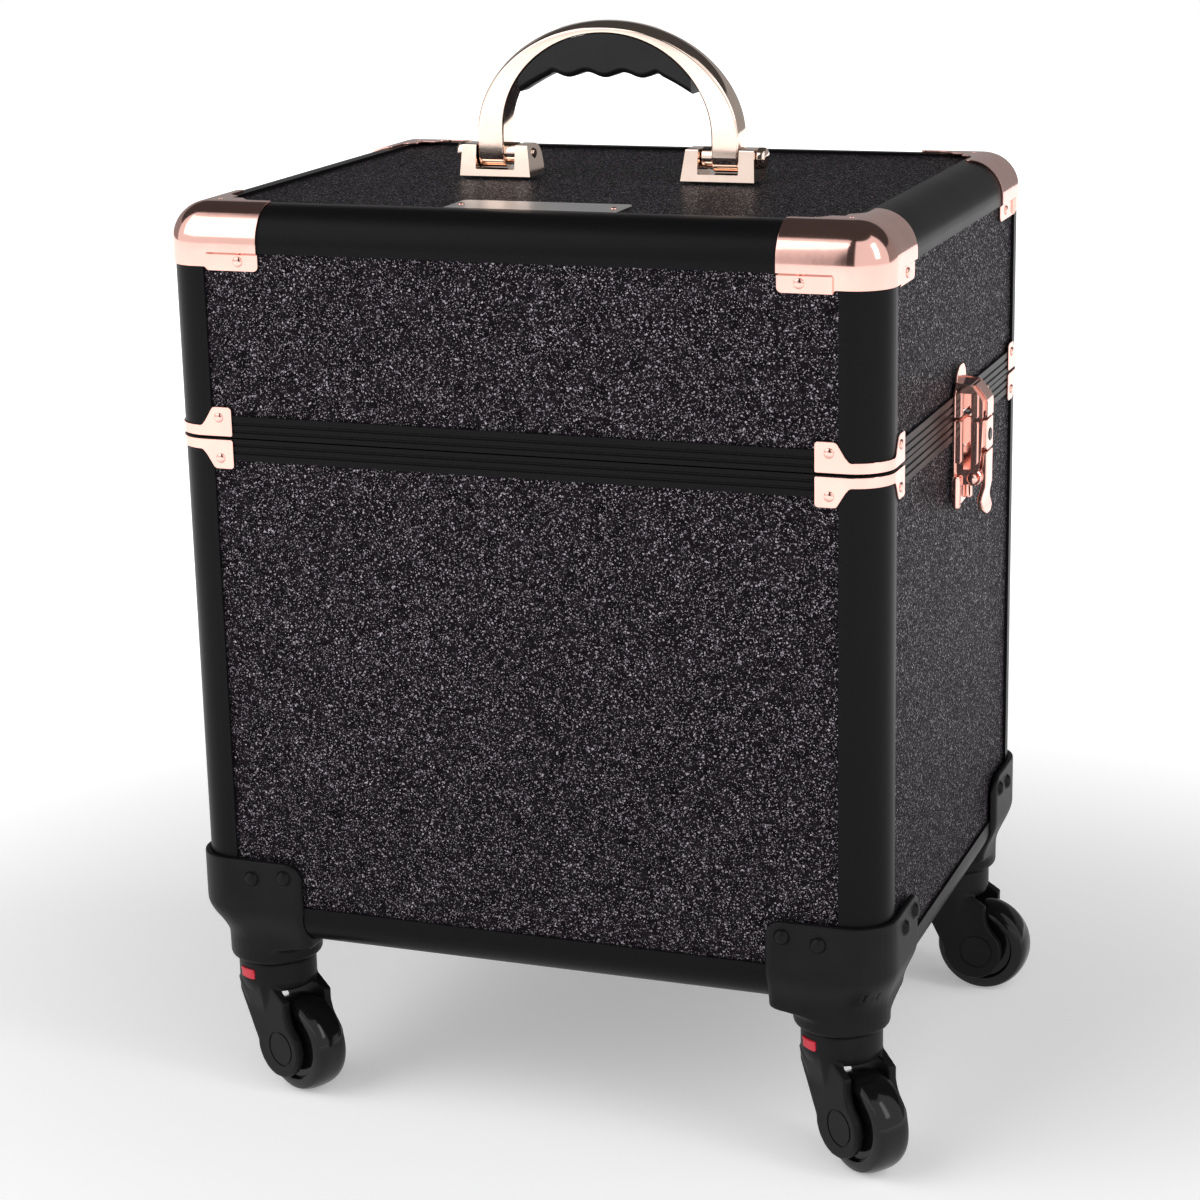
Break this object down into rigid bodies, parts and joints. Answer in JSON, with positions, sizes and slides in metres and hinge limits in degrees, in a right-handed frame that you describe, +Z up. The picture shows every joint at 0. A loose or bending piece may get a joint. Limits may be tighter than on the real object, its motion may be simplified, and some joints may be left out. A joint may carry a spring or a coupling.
{
  "type": "makeup train case",
  "caption": "Rolling makeup train case: hinged lid with folding carry handle, side latches, framed glitter panels and swivel casters.",
  "frame": {"origin": "on the floor under the middle of the case's footprint, where the wheels touch", "axes": "+X towards the right-hand latch, -Y towards the wide front face with the name plate, +Z up"},
  "size_m": [0.3713, 0.2803, 0.5104],
  "materials": {
    "anodised_black": "satin black anodised",
    "glitter_board": "black glitter laminate on board",
    "rose_gold": "polished rose-gold plating",
    "champagne_gold": "polished champagne plating",
    "silver_plate": "brushed silver",
    "black_plastic": "fine matte moulding",
    "black_grip": "satin grip",
    "wheel_black": "gloss polyurethane",
    "red_plastic": "gloss red",
    "lining_black": "black woven lining",
    "steel": "bright steel",
    "black_steel": "satin black enamel",
    "key_plug": "dark plated"
  },
  "bodies": {
    "case_base": {"base_front_panel": "glitter_board", "base_back_panel": "glitter_board", "base_left_panel": "glitter_board", "base_right_panel": "glitter_board", "base_floor_panel": "glitter_board", "base_corner_posts": "anodised_black", "base_bottom_rails": "anodised_black", "base_rim": "anodised_black", "base_lining": "lining_black", "base_rim_clamps": "rose_gold", "base_clamp_rivets": "rose_gold", "latch_plate_left": "rose_gold", "latch_plate_right": "rose_gold", "caster_housing_front_left": "black_plastic", "caster_housing_front_right": "black_plastic", "caster_housing_back_left": "black_plastic", "caster_housing_back_right": "black_plastic", "housing_rivets": "black_plastic", "hinge_pin": "steel", "hinge_lower_leaf": "black_steel"},
    "lid": {"lid_front_panel": "glitter_board", "lid_back_panel": "glitter_board", "lid_left_panel": "glitter_board", "lid_right_panel": "glitter_board", "lid_top_panel": "glitter_board", "lid_corner_posts": "anodised_black", "lid_top_rails": "anodised_black", "lid_rim": "anodised_black", "lid_rim_clamps": "rose_gold", "lid_corner_caps": "rose_gold", "lid_rivets": "rose_gold", "name_plate": "silver_plate", "handle_brackets": "champagne_gold", "handle_pivot_pins": "champagne_gold", "latch_catch_left": "rose_gold", "latch_catch_right": "rose_gold", "hinge_upper_leaf": "black_steel", "lid_lining": "lining_black"},
    "handle": {"handle_arch": "champagne_gold", "handle_grip": "black_grip"},
    "latch_left": {"latch_lever_left": "rose_gold"},
    "lock_left": {"lock_plug_left": "key_plug"},
    "latch_right": {"latch_lever_right": "rose_gold"},
    "lock_right": {"lock_plug_right": "key_plug"},
    "caster_front_left": {"caster_fork_front_left": "black_plastic", "caster_axle_front_left": "steel"},
    "wheel_front_left": {"caster_wheel_front_left": "wheel_black"},
    "button_front_left": {"caster_button_front_left": "red_plastic"},
    "caster_front_right": {"caster_fork_front_right": "black_plastic", "caster_axle_front_right": "steel"},
    "wheel_front_right": {"caster_wheel_front_right": "wheel_black"},
    "button_front_right": {"caster_button_front_right": "red_plastic"},
    "caster_back_left": {"caster_fork_back_left": "black_plastic", "caster_axle_back_left": "steel"},
    "wheel_back_left": {"caster_wheel_back_left": "wheel_black"},
    "button_back_left": {"caster_button_back_left": "red_plastic"},
    "caster_back_right": {"caster_fork_back_right": "black_plastic", "caster_axle_back_right": "steel"},
    "wheel_back_right": {"caster_wheel_back_right": "wheel_black"},
    "button_back_right": {"caster_button_back_right": "red_plastic"}
  },
  "joints": [
    {"name": "lid_hinge", "type": "hinge", "parent": "case_base", "child": "lid", "pos_m": [0, 0.138, 0.3305], "axis": [-1, 0, 0], "range_deg": [0, 95]},
    {"name": "handle_fold", "type": "hinge", "parent": "lid", "child": "handle", "pos_m": [0, 0, 0.4474], "axis": [1, 0, 0], "range_deg": [-90, 90]},
    {"name": "latch_left_lever", "type": "hinge", "parent": "case_base", "child": "latch_left", "pos_m": [-0.179, 0, 0.3025], "axis": [0, 1, 0], "range_deg": [0, 45]},
    {"name": "latch_left_key", "type": "hinge", "parent": "case_base", "child": "lock_left", "pos_m": [-0.184, 0, 0.3221], "axis": [-1, 0, 0], "range_deg": [0, 90]},
    {"name": "latch_right_lever", "type": "hinge", "parent": "case_base", "child": "latch_right", "pos_m": [0.179, 0, 0.3025], "axis": [0, -1, 0], "range_deg": [0, 45]},
    {"name": "latch_right_key", "type": "hinge", "parent": "case_base", "child": "lock_right", "pos_m": [0.184, 0, 0.3221], "axis": [1, 0, 0], "range_deg": [0, 90]},
    {"name": "swivel_front_left", "type": "hinge", "parent": "case_base", "child": "caster_front_left", "pos_m": [-0.144, -0.108, 0.061], "axis": [0, 0, 1], "continuous": true},
    {"name": "roll_front_left", "type": "hinge", "parent": "caster_front_left", "child": "wheel_front_left", "pos_m": [-0.12782, -0.11589, 0.024], "axis": [0.4384, 0.8988, 0], "continuous": true},
    {"name": "release_front_left", "type": "slide", "parent": "caster_front_left", "child": "button_front_left", "axis": [0.4384, 0.8988, 0], "range_m": [0, 0.0015], "stiffness_N_per_m": 300},
    {"name": "swivel_front_right", "type": "hinge", "parent": "case_base", "child": "caster_front_right", "pos_m": [0.144, -0.108, 0.061], "axis": [0, 0, 1], "continuous": true},
    {"name": "roll_front_right", "type": "hinge", "parent": "caster_front_right", "child": "wheel_front_right", "pos_m": [0.15818, -0.11908, 0.024], "axis": [0.6157, 0.788, 0], "continuous": true},
    {"name": "release_front_right", "type": "slide", "parent": "caster_front_right", "child": "button_front_right", "axis": [0.6157, 0.788, 0], "range_m": [0, 0.0015], "stiffness_N_per_m": 300},
    {"name": "swivel_back_left", "type": "hinge", "parent": "case_base", "child": "caster_back_left", "pos_m": [-0.144, 0.108, 0.061], "axis": [0, 0, 1], "continuous": true},
    {"name": "roll_back_left", "type": "hinge", "parent": "caster_back_left", "child": "wheel_back_left", "pos_m": [-0.12661, 0.10334, 0.024], "axis": [0.2588, 0.9659, 0], "continuous": true},
    {"name": "release_back_left", "type": "slide", "parent": "caster_back_left", "child": "button_back_left", "axis": [0.2588, 0.9659, 0], "range_m": [0, 0.0015], "stiffness_N_per_m": 300},
    {"name": "swivel_back_right", "type": "hinge", "parent": "case_base", "child": "caster_back_right", "pos_m": [0.144, 0.108, 0.061], "axis": [0, 0, 1], "continuous": true},
    {"name": "roll_back_right", "type": "hinge", "parent": "caster_back_right", "child": "wheel_back_right", "pos_m": [0.16196, 0.10674, 0.024], "axis": [0.0698, 0.9976, 0], "continuous": true},
    {"name": "release_back_right", "type": "slide", "parent": "caster_back_right", "child": "button_back_right", "axis": [0.0698, 0.9976, 0], "range_m": [0, 0.0015], "stiffness_N_per_m": 300}
  ]
}
